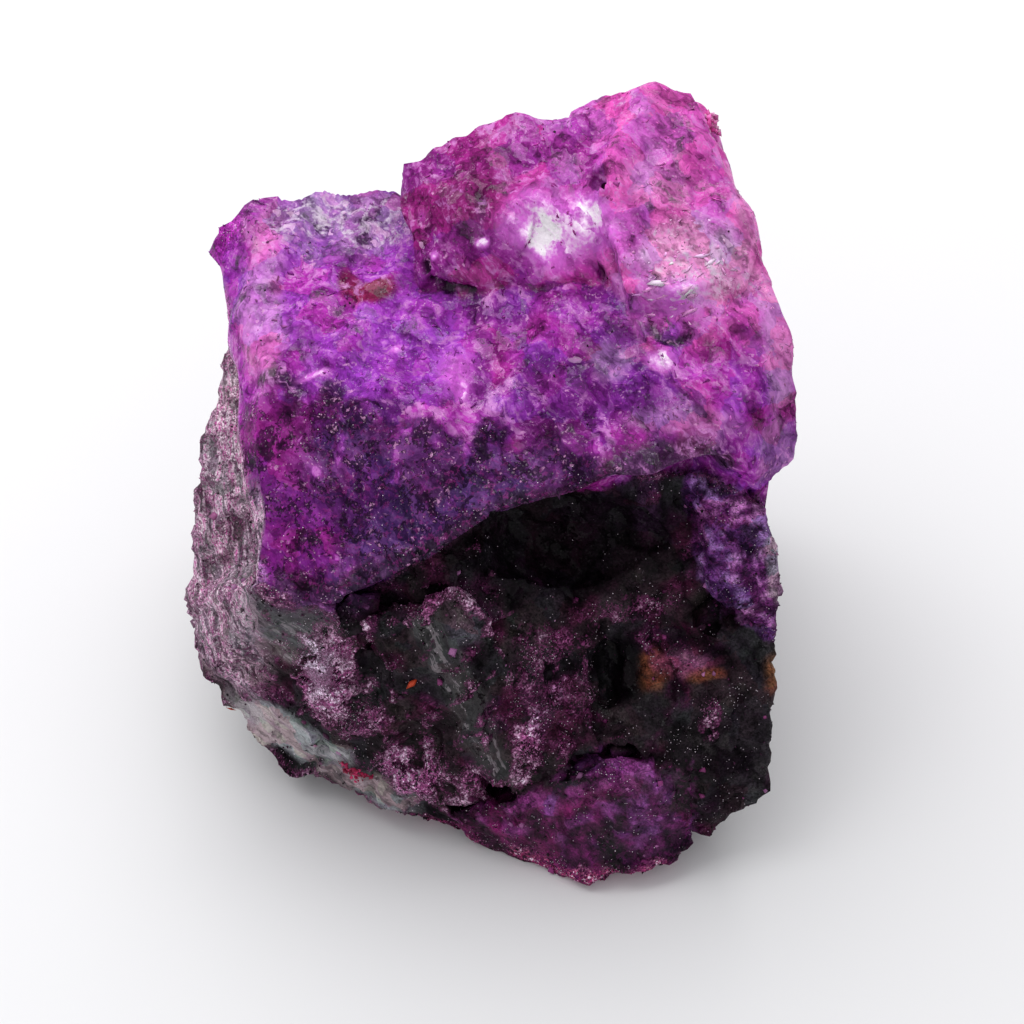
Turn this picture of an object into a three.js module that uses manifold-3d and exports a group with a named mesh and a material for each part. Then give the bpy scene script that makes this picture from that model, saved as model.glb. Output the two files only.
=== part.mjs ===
import * as THREE from 'three';
import { ConvexGeometry } from 'three/addons/geometries/ConvexGeometry.js';
import { TessellateModifier } from 'three/addons/modifiers/TessellateModifier.js';
import { mergeVertices } from 'three/addons/utils/BufferGeometryUtils.js';
import Module from 'manifold-3d';

// A rough violet stone the size of a walnut, broken from its rock and never cut or polished.
// Millimetres, +Z up. The stone rests on a flat fracture face in the plane z = 0.
// The dark broken front faces -Y, the clean violet crown is on top, and +X is to the right.

// Driving dimensions of the whole stone.
const STONE_WIDTH = 49.5;
const STONE_DEPTH = 46;
const STONE_HEIGHT = 48.5;

// Longest edge left on a face before the surface is roughened.
const FACET_EDGE = 4.2;
// Passes needed to halve the longest edges down to FACET_EDGE.
const HALVING_PASSES = 7;
// The broken faces aren't flat: slow ripples cross the stone. Each runs along one direction and
// pushes the surface along another, with its own length, depth and start.
const RIPPLES = [
  { run: [0.83, 0.46, 0.31], push: [0.20, -0.55, 0.81], length: 15.0, depth: 0.36, start: 0.4 },
  { run: [-0.52, 0.68, 0.51], push: [0.62, 0.30, 0.72], length: 10.5, depth: 0.30, start: 2.1 },
  { run: [0.35, -0.47, 0.81], push: [0.77, -0.60, 0.22], length: 8.1, depth: 0.24, start: 3.7 },
  { run: [0.64, 0.71, -0.29], push: [-0.48, 0.52, 0.71], length: 6.3, depth: 0.16, start: 5.2 },
  { run: [-0.27, 0.90, -0.34], push: [0.70, 0.10, 0.71], length: 5.1, depth: 0.15, start: 1.3 },
  { run: [0.45, 0.38, 0.81], push: [0.30, -0.85, 0.43], length: 4.3, depth: 0.15, start: 0.9 },
  { run: [-0.76, 0.31, 0.57], push: [0.41, 0.57, 0.71], length: 3.7, depth: 0.14, start: 4.4 },
  { run: [0.87, -0.49, 0.06], push: [0.10, 0.40, 0.91], length: 4.7, depth: 0.16, start: 2.7 },
];
// Height over which the roughness fades out towards the flat resting face.
const RESTING_FADE = 2.5;
// Distance under which two corners of a mesh are one corner.
const WELD = 1e-4;

const wasm = await Module();
wasm.setup();

// Turns a closed three.js geometry into a solid that can be joined and cut.
function solidFrom(geometry) {
  const bare = geometry.clone();
  bare.deleteAttribute('normal');
  bare.deleteAttribute('uv');
  const welded = mergeVertices(bare, WELD);
  return new wasm.Manifold(new wasm.Mesh({
    numProp: 3,
    vertProperties: new Float32Array(welded.attributes.position.array),
    triVerts: new Uint32Array(welded.index.array),
  }));
}

// A convex block of stone with flat faces between its corners. Each row is a list of corners.
function block(...rows) {
  const corners = rows.flat().map(([x, y, z]) => new THREE.Vector3(x, y, z));
  return solidFrom(new ConvexGeometry(corners));
}

// A shell-shaped hollow, as glassy stone leaves where a flake has come off.
function scoop(centre, radii, segments = 12) {
  const geometry = new THREE.SphereGeometry(1, segments, segments / 2);
  geometry.scale(...radii);
  geometry.translate(...centre);
  return solidFrom(geometry);
}

// The core that every other block leans on. Its front is the dark recess under the ledge.
const core = block(
  // foot, on the table
  [[-16.5, -9, 0], [-3, -16, 0], [12, -17, 0], [17, -12, 0], [17, 15, 0], [-14, 16, 0]],
  // left side, from the foot up to the crown
  [[-22, -9, 7], [-23.5, -8.5, 9], [-25.5, -2.5, 14], [-25, 0.5, 19], [-24, 4.5, 24], [-22, 11, 28]],
  // recessed front under the ledge
  [[-9, -9, 27], [3, -5, 31], [18, -3, 31], [20, -6, 18], [4, -9, 14], [-6, -13, 13]],
  // back
  [[-20, 19, 12], [20, 20, 9], [-20, 18, 29], [22, 20, 32]],
);

// Left crown: a nearly level violet face behind and a steeper darker face in front of it.
const leftCrown = block(
  // level face, back edge then front edge
  [[-20.5, 20.5, 37.3], [-7.5, 20, 39], [-0.5, 9.5, 39], [-0.5, -3.5, 36.5], [-18.5, 2, 35.5]],
  // ledge line, right to left
  [[-0.5, -9.5, 32.5], [-2.5, -9.5, 31], [-7.5, -12, 28.5], [-13, -12.5, 25.5], [-18.5, -10.5, 26]],
  // left edge
  [[-20, 0, 31], [-21, 8, 33], [-22.5, 17, 34]],
  // root inside the core
  [[-17, 17, 24], [0, 17, 25], [-3, -4, 26], [-17, -8, 18]],
);

// A small granular ear at the back left corner.
const ear = block(
  [[-24, 19.5, 34.5], [-23, 18.5, 33.5], [-22, 20, 36], [-20.5, 20, 37.5]],
  [[-19.5, 19.5, 37.3], [-19, 14.5, 36.6], [-21.5, 12.5, 34], [-17, 14, 28], [-17, 18, 30]],
);

// Middle crown: one tilted violet face running down to the ledge.
const middleCrown = block(
  // upper edge
  [[-2, 9, 38.8], [9, 8.5, 41], [12, 5, 41], [15.5, -0.5, 39], [-2, -3.5, 36.2]],
  // ledge line, left to right
  [[-2, -9, 32.2], [1, -9.2, 33], [4, -8.5, 34], [11.5, -6.5, 35], [16, -5.5, 36], [19, -5, 36]],
  // root inside the core
  [[0, 14, 27], [16, 14, 27], [0, -2, 28], [16, 0, 29]],
);

// Right crown: the tall pink block whose outer wall is the right edge of the stone.
const rightCrown = block(
  // outer edge, back to front
  [[6, 23, 45], [11.5, 24, 46.5], [16.5, 22.5, 46.5], [18, 21.5, 46], [19, 15.5, 45], [21, 9.5, 43]],
  [[22.5, 6, 41], [23.5, 1.5, 37.5], [24.5, -1, 33], [24, -2.5, 31], [21.5, -5.5, 30.5]],
  // step down to the middle crown, back to front
  [[8.5, 13.5, 45], [9, 8, 42.5], [12.5, 4, 41.5], [15.5, -2.5, 38.5], [19, -5, 36.5], [19.5, -5, 32]],
  // root inside the core
  [[12, 22, 28], [22, 20, 28], [14, 0, 28], [20, -3, 28]],
);

// A terrace left on the right crown where a slab has cleaved away in front of it.
const rightTerrace = block(
  [[6, 23, 45.5], [11.5, 23, 48], [16, 22, 48], [17.5, 19.5, 47], [19, 14.5, 46], [20.8, 9.3, 43.2]],
  [[20, 6.5, 42.2], [16, 5.5, 43], [10.5, 4.5, 43.2], [8.5, 12.5, 47]],
  [[12, 22, 32], [21, 19, 32], [12, 3.5, 34], [19, 3.5, 34]],
);

// A rounded lump standing on the back of the crown.
const lump = block(
  // shoulder towards the left crown
  [[-7.5, 19.5, 42], [-6.5, 12, 40.5], [-5.5, 9.5, 39.5]],
  // front foot and rounded top
  [[3.5, 8.8, 40.5], [8.5, 8.2, 41.5], [-3, 13, 43.5], [3, 12, 45.2], [7.5, 11.5, 45.7], [9, 12.5, 46.5]],
  // back edge
  [[-0.5, 21, 46], [3, 21, 47], [7, 21, 47]],
  // root
  [[-6, 18, 32], [10, 20, 32], [-5, 9, 33], [9, 8, 33]],
);

// The banded left shoulder and the grey glassy rim at its foot.
const leftShoulder = block(
  [[-18.5, -11, 26.5], [-13, -12.5, 25], [-10.5, -13, 20.5], [-11.5, -14.5, 16]],
  [[-5.5, -17, 8], [-2, -17.5, 1.5], [-7, -16, 3], [-13, -13.5, 2], [-17, -11.5, 3]],
  [[-22, -9, 7], [-23.5, -8.5, 9], [-25.5, -2.5, 14], [-8, 0, 10], [-12, -2, 24]],
);

// The right shoulder, just under the pink corner of the crown.
const rightShoulder = block(
  [[19, -4, 33], [21, -6, 30.5], [23, -7.5, 27], [23.5, -8, 22], [22.8, -9.5, 17]],
  [[17.5, -8.5, 22.5], [16.5, -5.5, 30], [12, 2, 20], [19, 2, 20], [14, 2, 32]],
);

// A long glassy ridge that runs down the dark front from left to right.
const glassyRidge = block(
  // crest
  [[-6.5, -12.5, 27], [-2, -16, 17.5], [1, -18.5, 9]],
  // feet on both sides
  [[-9.5, -12, 25], [-5.5, -15.5, 12], [-1, -11, 25.5], [3.5, -16.5, 10]],
  [[-4, -6, 12], [0, -8, 8]],
);

// The ridge's left flank, which slopes down to the floor of the bowl beside it.
const ridgeFlank = block(
  [[-11, -12.5, 23.5], [-7, -13, 24], [-9.5, -14, 17], [-4.5, -15.2, 17], [-6.5, -15.8, 11]],
  [[-2, -16.8, 10], [-4, -16.8, 5], [0, -17.5, 6], [-8, -6, 20], [-4, -6, 6], [0, -8, 10]],
);

// The frosted facet to the right of the ridge, with the floor of the pit beside it.
const frostedFacet = block(
  [[-2, -8.5, 22], [4, -8, 20.5], [7.5, -10, 18.5], [8.5, -16.5, 11], [2, -18, 7.5], [1, -18, 9.5]],
  [[-4.5, -11, 22], [-2, -4, 10], [10, -4, 10]],
);

// The rough shelf below the right shoulder, with a raised rim along its upper edge.
const rightShelf = block(
  [[9.5, -8, 19.5], [12.5, -9.5, 18.5], [16.5, -10.5, 18.2], [22.5, -8, 18.5], [23, -11, 16.5]],
  [[11.5, -16.5, 12.5], [16.5, -14.5, 15], [7.5, -16.5, 10], [4, -4, 10], [18, -4, 10]],
);

// The dark lump at the right foot, undercut above the table.
const rightFoot = block(
  [[11.5, -17, 13], [16.5, -14.5, 15.5], [22.5, -11.5, 16.5], [23, -13, 13.5], [22.5, -17, 8]],
  [[20.5, -18.5, 4], [17, -19, 1.5], [13.5, -17.5, 8], [8, -8, 8], [20, -6, 8]],
);

// The violet lump that the stone's front edge rests on.
const frontFoot = block(
  [[-3.5, -17.5, 4], [0.5, -18.5, 7], [5.5, -18.5, 10], [10, -18, 12], [16, -17.5, 11]],
  [[16.5, -18.5, 8], [16.5, -20, 2.5], [13.5, -21, 0], [10, -22, 0], [5.5, -20.5, 0]],
  [[-1.5, -17.5, 0], [0, -8, 0], [14, -10, 0], [16, -10, 4]],
);

// Broken ribs that make up the left side and the back.
const leftRib = block(
  [[-24.5, 2, 10], [-24.6, 4, 19], [-23.5, 12, 21], [-22.5, 15, 12], [-23, 10, 5]],
  [[-14, 2, 8], [-14, 12, 20]],
);
const backLeftRib = block(
  [[-19, 15, 2], [-8, 16, 1.5], [-5, 22, 9], [-20, 20.5, 14], [-16, 22.5, 24]],
  [[-7, 23, 26], [-18, 20, 33], [-9, 20, 35], [-10, 8, 20]],
);
const backRightRib = block(
  [[-4, 13, 3], [10, 14, 2], [17, 18, 10], [1, 21, 13], [10, 23.5, 22]],
  [[18, 21.5, 24], [5, 22.5, 33], [17, 21.5, 36], [4, 8, 20]],
);

// Hollows left by flakes: under the ledge, a pit in the dark front, and on the right side and the back.
const ledgeRecess = scoop([7, -7, 27.5], [9, 3.2, 5], 14);
const frontPit = scoop([9.2, -12.2, 16.5], [1.6, 3.2, 2.6], 10);
const backHollow = scoop([-6, 25.5, 16], [8, 4.5, 9], 16);
const rightHollow = scoop([22.5, 8, 17], [4, 7.5, 6], 14);
// The bowl in the dark front, left of the glassy ridge: two shells, one above the other.
const upperBowl = scoop([-11, -18, 18.5], [4.2, 6.2, 5.5], 14);
const lowerBowl = scoop([-6.8, -19.5, 11], [3.8, 5.6, 5.2], 14);
// A round pinhole on the lump, and the deep corner of the crack across the right crown.
const pinhole = scoop([8.6, 13.2, 46.8], [0.8, 0.8, 1.6], 8);
const crackPocket = scoop([14.4, 4.0, 42.4], [1.9, 0.7, 1.1], 8);

let stone = core;
const blocks = [
  leftCrown, ear, middleCrown, rightCrown, rightTerrace, lump, leftShoulder, rightShoulder,
  glassyRidge, ridgeFlank, frostedFacet, rightShelf, rightFoot, frontFoot, leftRib, backLeftRib, backRightRib,
];
for (const each of blocks) {
  stone = stone.add(each);
}
const hollows = [
  ledgeRecess, frontPit, backHollow, rightHollow, upperBowl, lowerBowl, pinhole, crackPocket,
];
for (const each of hollows) {
  stone = stone.subtract(each);
}

// The joined solid as loose triangles, with every edge halved until it is short enough.
const joined = stone.getMesh();
const plain = new THREE.BufferGeometry();
plain.setAttribute('position', new THREE.BufferAttribute(joined.vertProperties, 3));
plain.setIndex(new THREE.BufferAttribute(joined.triVerts, 1));
const fine = new TessellateModifier(FACET_EDGE, HALVING_PASSES).modify(plain.toNonIndexed());
const surface = mergeVertices(fine, WELD);

// Roughness: each corner moves by an amount that depends on its own place alone, so corners that
// faces share stay shared. The ripples fade out towards the flat resting face.
const corner = new THREE.Vector3();
const place = surface.attributes.position;
for (let i = 0; i < place.count; i += 1) {
  corner.fromBufferAttribute(place, i);
  const start = corner.clone();
  const fade = THREE.MathUtils.smoothstep(start.z, 0, RESTING_FADE);
  for (const ripple of RIPPLES) {
    const along = start.dot(new THREE.Vector3(...ripple.run));
    const height = Math.sin((2 * Math.PI * along) / ripple.length + ripple.start);
    corner.addScaledVector(new THREE.Vector3(...ripple.push), fade * ripple.depth * height);
  }
  place.setXYZ(i, corner.x, corner.y, corner.z);
}

// The stone is brought to its overall size, centred over its resting face.
surface.computeBoundingBox();
const box = surface.boundingBox;
const size = box.getSize(new THREE.Vector3());
const middle = box.getCenter(new THREE.Vector3());
surface.translate(-middle.x, -middle.y, -box.min.z);
surface.scale(STONE_WIDTH / size.x, STONE_DEPTH / size.y, STONE_HEIGHT / size.z);
surface.computeVertexNormals();

const violetStone = new THREE.MeshStandardMaterial({ color: 0x6b2a86, roughness: 0.45, metalness: 0 });
const roughSapphire = new THREE.Mesh(surface, violetStone);
roughSapphire.name = 'rough_sapphire';

const object = new THREE.Group();
object.add(roughSapphire);

export default object;
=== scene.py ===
import itertools
import math
import bpy
import numpy as np
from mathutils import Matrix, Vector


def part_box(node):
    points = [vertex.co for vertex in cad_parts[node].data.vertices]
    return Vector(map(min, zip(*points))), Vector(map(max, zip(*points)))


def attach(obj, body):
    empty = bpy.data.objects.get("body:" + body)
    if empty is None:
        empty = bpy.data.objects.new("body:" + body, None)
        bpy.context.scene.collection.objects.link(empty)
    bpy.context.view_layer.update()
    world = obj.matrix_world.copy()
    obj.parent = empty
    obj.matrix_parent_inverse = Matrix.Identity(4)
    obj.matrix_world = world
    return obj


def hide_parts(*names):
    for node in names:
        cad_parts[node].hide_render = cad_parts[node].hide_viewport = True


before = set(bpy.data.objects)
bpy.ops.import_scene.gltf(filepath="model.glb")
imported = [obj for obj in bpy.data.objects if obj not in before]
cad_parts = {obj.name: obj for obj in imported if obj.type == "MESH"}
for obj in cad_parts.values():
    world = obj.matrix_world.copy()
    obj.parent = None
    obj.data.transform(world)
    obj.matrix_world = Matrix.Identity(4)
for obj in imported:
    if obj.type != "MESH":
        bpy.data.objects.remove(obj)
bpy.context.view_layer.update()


# View, table and light. The camera looks down at 50 degrees through a long lens, as one looks at
# a specimen on a table. The light is a broad soft sheet above and a little behind the stone.
LOOK_DOWN = math.radians(50)
scene = bpy.context.scene
lens = bpy.data.cameras.new("view")
lens.lens = 135
lens.sensor_width = 36
camera = bpy.data.objects.new("view", lens)
camera.location = (0.00210, -0.20245, 0.26222)
camera.rotation_euler = (math.pi / 2 - LOOK_DOWN, 0, 0)
scene.collection.objects.link(camera)
scene.camera = camera
LAMP_PLACE = np.array([-0.10, 0.24, 0.44])
LAMP_AIM = np.array([0, 0.02, 0.02])
lamp = bpy.data.lights.new("light_above", "AREA")
lamp.shape = "RECTANGLE"
lamp.size = 0.70
lamp.size_y = 0.52
lamp.energy = 2.7
lamp_holder = bpy.data.objects.new("light_above", lamp)
lamp_holder.location = LAMP_PLACE
beam = LAMP_AIM - LAMP_PLACE
tip = math.atan2(math.hypot(beam[0], beam[1]), -beam[2])
turn = math.atan2(beam[1], beam[0]) - math.pi / 2
lamp_holder.rotation_euler = (tip, 0, turn)
scene.collection.objects.link(lamp_holder)

sky = bpy.data.worlds.new("room")
sky.use_nodes = True
sky.node_tree.nodes["Background"].inputs["Color"].default_value = (0.98, 0.98, 1.0, 1)
sky.node_tree.nodes["Background"].inputs["Strength"].default_value = 0.60
scene.world = sky
scene.view_settings.view_transform = "Standard"

table_mesh = bpy.data.meshes.new("table")
HALF_TABLE = 3.0
table_corners = [(HALF_TABLE * i, HALF_TABLE * j, 0) for i, j in ((-1, -1), (1, -1), (1, 1), (-1, 1))]
table_mesh.from_pydata(table_corners, [], [(0, 1, 2, 3)])
table = bpy.data.objects.new("table", table_mesh)
scene.collection.objects.link(table)
white = bpy.data.materials.new("white_table")
white.use_nodes = True
white_shader = white.node_tree.nodes["Principled BSDF"]
white_shader.inputs["Base Color"].default_value = (0.82, 0.82, 0.83, 1)
white_shader.inputs["Roughness"].default_value = 0.75
table_mesh.materials.append(white)


# The stone: one lump of rough violet corundum, split from its rock along cleavages and fractures.
# Its form is a heap of flat-faced blocks that have grown together, less the hollows where flakes
# have come off. Every corner is in mm, in the plan of the solid: x right, y back, z up.
BLOCKS = {
    "core": [
        (-16.5, -9, 0), (-3, -16, 0), (12, -17, 0), (17, -12, 0), (17, 15, 0), (-14, 16, 0),
        (-22, -9, 7), (-23.5, -8.5, 9), (-25.5, -2.5, 14), (-25, 0.5, 19), (-24, 4.5, 24), (-22, 11, 28),
        (-9, -9, 27), (3, -5, 31), (18, -3, 31), (20, -6, 18), (4, -9, 14), (-6, -13, 13),
        (-20, 19, 12), (20, 20, 9), (-20, 18, 29), (22, 20, 32)],
    "left_crown": [
        (-20.5, 20.5, 37.3), (-7.5, 20, 39), (-0.5, 9.5, 39), (-0.5, -3.5, 36.5), (-18.5, 2, 35.5),
        (-0.5, -9.5, 32.5), (-2.5, -9.5, 31), (-7.5, -12, 28.5), (-13, -12.5, 25.5), (-18.5, -10.5, 26),
        (-20, 0, 31), (-21, 8, 33), (-22.5, 17, 34),
        (-17, 17, 24), (0, 17, 25), (-3, -4, 26), (-17, -8, 18)],
    "ear": [
        (-24, 19.5, 34.5), (-23, 18.5, 33.5), (-22, 20, 36), (-20.5, 20, 37.5),
        (-19.5, 19.5, 37.3), (-19, 14.5, 36.6), (-21.5, 12.5, 34), (-17, 14, 28), (-17, 18, 30)],
    "middle_crown": [
        (-2, 9, 38.8), (9, 8.5, 41), (12, 5, 41), (15.5, -0.5, 39), (-2, -3.5, 36.2),
        (-2, -9, 32.2), (1, -9.2, 33), (4, -8.5, 34), (11.5, -6.5, 35), (16, -5.5, 36), (19, -5, 36),
        (0, 14, 27), (16, 14, 27), (0, -2, 28), (16, 0, 29)],
    "right_crown": [
        (6, 23, 45), (11.5, 24, 46.5), (16.5, 22.5, 46.5), (18, 21.5, 46), (19, 15.5, 45), (21, 9.5, 43),
        (22.5, 6, 41), (23.5, 1.5, 37.5), (24.5, -1, 33), (24, -2.5, 31), (21.5, -5.5, 30.5),
        (8.5, 13.5, 45), (9, 8, 42.5), (12.5, 4, 41.5), (15.5, -2.5, 38.5), (19, -5, 36.5), (19.5, -5, 32),
        (12, 22, 28), (22, 20, 28), (14, 0, 28), (20, -3, 28)],
    "right_terrace": [
        (6, 23, 45.5), (11.5, 23, 48), (16, 22, 48), (17.5, 19.5, 47), (19, 14.5, 46), (20.8, 9.3, 43.2),
        (20, 6.5, 42.2), (16, 5.5, 43), (10.5, 4.5, 43.2), (8.5, 12.5, 47),
        (12, 22, 32), (21, 19, 32), (12, 3.5, 34), (19, 3.5, 34)],
    "lump": [
        (-7.5, 19.5, 42), (-6.5, 12, 40.5), (-5.5, 9.5, 39.5),
        (3.5, 8.8, 40.5), (8.5, 8.2, 41.5), (-3, 13, 43.5), (3, 12, 45.2), (7.5, 11.5, 45.7), (9, 12.5, 46.5),
        (-0.5, 21, 46), (3, 21, 47), (7, 21, 47),
        (-6, 18, 32), (10, 20, 32), (-5, 9, 33), (9, 8, 33)],
    "left_shoulder": [
        (-18.5, -11, 26.5), (-13, -12.5, 25), (-10.5, -13, 20.5), (-11.5, -14.5, 16),
        (-5.5, -17, 8), (-2, -17.5, 1.5), (-7, -16, 3), (-13, -13.5, 2), (-17, -11.5, 3),
        (-22, -9, 7), (-23.5, -8.5, 9), (-25.5, -2.5, 14), (-8, 0, 10), (-12, -2, 24)],
    "right_shoulder": [
        (19, -4, 33), (21, -6, 30.5), (23, -7.5, 27), (23.5, -8, 22), (22.8, -9.5, 17),
        (17.5, -8.5, 22.5), (16.5, -5.5, 30), (12, 2, 20), (19, 2, 20), (14, 2, 32)],
    "glassy_ridge": [
        (-6.5, -12.5, 27), (-2, -16, 17.5), (1, -18.5, 9),
        (-9.5, -12, 25), (-5.5, -15.5, 12), (-1, -11, 25.5), (3.5, -16.5, 10), (-4, -6, 12), (0, -8, 8)],
    "ridge_flank": [
        (-11, -12.5, 23.5), (-7, -13, 24), (-9.5, -14, 17), (-4.5, -15.2, 17), (-6.5, -15.8, 11),
        (-2, -16.8, 10), (-4, -16.8, 5), (0, -17.5, 6), (-8, -6, 20), (-4, -6, 6), (0, -8, 10)],
    "frosted_facet": [
        (-2, -8.5, 22), (4, -8, 20.5), (7.5, -10, 18.5), (8.5, -16.5, 11), (2, -18, 7.5), (1, -18, 9.5),
        (-4.5, -11, 22), (-2, -4, 10), (10, -4, 10)],
    "right_shelf": [
        (9.5, -8, 19.5), (12.5, -9.5, 18.5), (16.5, -10.5, 18.2), (22.5, -8, 18.5), (23, -11, 16.5),
        (11.5, -16.5, 12.5), (16.5, -14.5, 15), (7.5, -16.5, 10), (4, -4, 10), (18, -4, 10)],
    "right_foot": [
        (11.5, -17, 13), (16.5, -14.5, 15.5), (22.5, -11.5, 16.5), (23, -13, 13.5), (22.5, -17, 8),
        (20.5, -18.5, 4), (17, -19, 1.5), (13.5, -17.5, 8), (8, -8, 8), (20, -6, 8)],
    "front_foot": [
        (-3.5, -17.5, 4), (0.5, -18.5, 7), (5.5, -18.5, 10), (10, -18, 12), (16, -17.5, 11),
        (16.5, -18.5, 8), (16.5, -20, 2.5), (13.5, -21, 0), (10, -22, 0), (5.5, -20.5, 0),
        (-1.5, -17.5, 0), (0, -8, 0), (14, -10, 0), (16, -10, 4)],
    "left_rib": [
        (-24.5, 2, 10), (-24.6, 4, 19), (-23.5, 12, 21), (-22.5, 15, 12), (-23, 10, 5),
        (-14, 2, 8), (-14, 12, 20)],
    "back_left_rib": [
        (-19, 15, 2), (-8, 16, 1.5), (-5, 22, 9), (-20, 20.5, 14), (-16, 22.5, 24),
        (-7, 23, 26), (-18, 20, 33), (-9, 20, 35), (-10, 8, 20)],
    "back_right_rib": [
        (-4, 13, 3), (10, 14, 2), (17, 18, 10), (1, 21, 13), (10, 23.5, 22),
        (18, 21.5, 24), (5, 22.5, 33), (17, 21.5, 36), (4, 8, 20)],
}
# Each hollow is a shell-shaped scoop: its centre and its three radii.
HOLLOWS = {
    "ledge_recess": ((7, -7, 27.5), (9, 3.2, 5)),
    "front_pit": ((9.2, -12.2, 16.5), (1.6, 3.2, 2.6)),
    "upper_bowl": ((-11, -18, 18.5), (4.2, 6.2, 5.5)),
    "lower_bowl": ((-6.8, -19.5, 11), (3.8, 5.6, 5.2)),
    "back_hollow": ((-6, 25.5, 16), (8, 4.5, 9)),
    "right_hollow": ((22.5, 8, 17), (4, 7.5, 6)),
    "pinhole": ((8.6, 13.2, 46.8), (0.8, 0.8, 1.6)),
    "crack_pocket": ((14.4, 4.0, 42.4), (1.9, 0.7, 1.1)),
}


def flat_faces(corners):
    """The planes of a convex block: three corners span a face if all the others are on one side of it.
    Gives each plane's outward normal, and how far the plane is along it from the plan's origin."""
    touch = 1e-6
    corners = np.array(corners, float)
    a, b, c = corners[np.array(list(itertools.combinations(range(len(corners)), 3))).T]
    out = np.cross(b - a, c - a)
    long = np.linalg.norm(out, axis=1)
    spans = long > touch
    out, a = out[spans] / long[spans, None], a[spans]
    reach = (out * a).sum(1)
    side = corners @ out.T - reach
    front, back = (side < touch).all(0), (side > -touch).all(0)
    normal = np.concatenate([out[front], -out[back]])
    away = np.concatenate([reach[front], -reach[back]])
    planes = np.unique(np.column_stack([normal, away]).round(5), axis=0).astype(np.float32)
    return planes[:, :3], planes[:, 3]


FACES = {name: flat_faces(corners) for name, corners in BLOCKS.items()}
# Heights above the stone are only worked out up to this many mm, which keeps the sums short.
NEAR = 2.5


def height_over(points, names=tuple(BLOCKS), hollows=True):
    """How far each point is outside the stone, and which way is out.
    Over one block it is the largest height over its planes, over the heap the smallest of those,
    and in a hollow it is the depth below the shell."""
    points = points.astype(np.float32)
    height = np.full(len(points), NEAR, np.float32)
    out = np.zeros((len(points), 3), np.float32)
    for name in names:
        corners = np.array(BLOCKS[name], np.float32)
        normal, reach = FACES[name]
        near = np.nonzero(((points > corners.min(0) - NEAR) & (points < corners.max(0) + NEAR)).all(1))[0]
        over = points[near] @ normal.T - reach
        face = over.argmax(1)
        over = over[np.arange(len(near)), face]
        lower = over < height[near]
        height[near[lower]] = over[lower]
        out[near[lower]] = normal[face[lower]]
    for centre, radii in (HOLLOWS.values() if hollows else ()):
        centre, radii = np.array(centre, np.float32), np.array(radii, np.float32)
        near = np.nonzero((np.abs(points - centre) < radii + 1).all(1))[0]
        inside = (points[near] - centre) / radii
        length = np.linalg.norm(inside, axis=1)
        slope = inside / radii
        steep = np.maximum(np.linalg.norm(slope, axis=1), 1e-6)
        depth = np.where(length < 0.3, 0.7 * radii.min(), (1 - length) * length / steep)
        deeper = depth > height[near]
        height[near[deeper]] = depth[deeper]
        out[near[deeper]] = -(slope / steep[:, None])[deeper]
    return height, out


def cube_net(cells):
    """The six faces of a cube as square nets whose edges are shared.
    Gives the number of the knot at each place of each net, and each knot's place on the cube."""
    a, b = np.meshgrid(np.arange(cells + 1), np.arange(cells + 1), indexing="ij")
    low, high = np.zeros_like(a), np.full_like(a, cells)
    sides = [(high, a, b), (low, b, a), (b, high, a), (a, low, b), (a, b, high), (b, a, low)]
    place = np.stack([np.stack(side, -1) for side in sides])
    key = (place[..., 0] * (cells + 1) + place[..., 1]) * (cells + 1) + place[..., 2]
    knots, net = np.unique(key.ravel(), return_inverse=True)
    place = np.stack([knots // (cells + 1) ** 2, knots // (cells + 1) % (cells + 1), knots % (cells + 1)], -1)
    return net.reshape(6, cells + 1, cells + 1), place


def four_corners(net):
    """The four knots round every mesh of the net, in the order that makes the face point outwards."""
    return np.stack([net[:, :-1, :-1], net[:, 1:, :-1], net[:, 1:, 1:], net[:, :-1, 1:]], -1).reshape(-1, 4)


def outward(points, faces):
    """The unit normal at each knot: the sum of its faces' areas as vectors, made one long."""
    area = np.cross(points[faces[:, 2]] - points[faces[:, 0]], points[faces[:, 3]] - points[faces[:, 1]])
    total = [sum(np.bincount(faces[:, c], area[:, k], len(points)) for c in range(4)) for k in range(3)]
    total = np.stack(total, 1)
    return total / np.maximum(np.linalg.norm(total, axis=1, keepdims=True), 1e-9)


def beside(values, pairs):
    """The mean of each knot's neighbours along the net."""
    count = np.bincount(pairs.ravel(), minlength=len(values))
    total = [np.bincount(pairs[:, 0], values[pairs[:, 1], k], len(values))
             + np.bincount(pairs[:, 1], values[pairs[:, 0], k], len(values)) for k in range(values.shape[1])]
    return np.stack(total, 1) / count[:, None]


def neighbours(net):
    """Every pair of knots that one thread of the net joins."""
    down = np.stack([net[:, :-1].ravel(), net[:, 1:].ravel()], 1)
    across = np.stack([net[:, :, :-1].ravel(), net[:, :, 1:].ravel()], 1)
    return np.unique(np.sort(np.concatenate([down, across]), 1), axis=0)


# A knot less than CLOSE mm above the stone counts as on it, and one more than ASTRAY mm off it is put
# back among its neighbours.
CLOSE = 0.01
ASTRAY = 0.05


def lay_on_stone(points, out, lift):
    """Each knot is lifted along its normal until it is clear of the stone, then lowered back onto it."""
    gap = np.full(len(points), float(lift))
    live = np.arange(len(points))
    for _ in range(3):
        live = live[height_over(points[live] + out[live] * gap[live, None])[0] < CLOSE]
        gap[live] *= 0.4
    live = np.arange(len(points))
    for _ in range(8):
        over = height_over(points[live] + out[live] * gap[live, None])[0]
        gap[live] = np.maximum(gap[live] - np.maximum(over, 0), -1.5 * lift)
        live = live[over > CLOSE]
    points = points + out * gap[:, None]
    live = np.arange(len(points))
    for _ in range(3):
        over, way = height_over(points[live])
        points[live] -= way * np.maximum(over, 0)[:, None]
        live = live[over > CLOSE]
    return points


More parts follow.
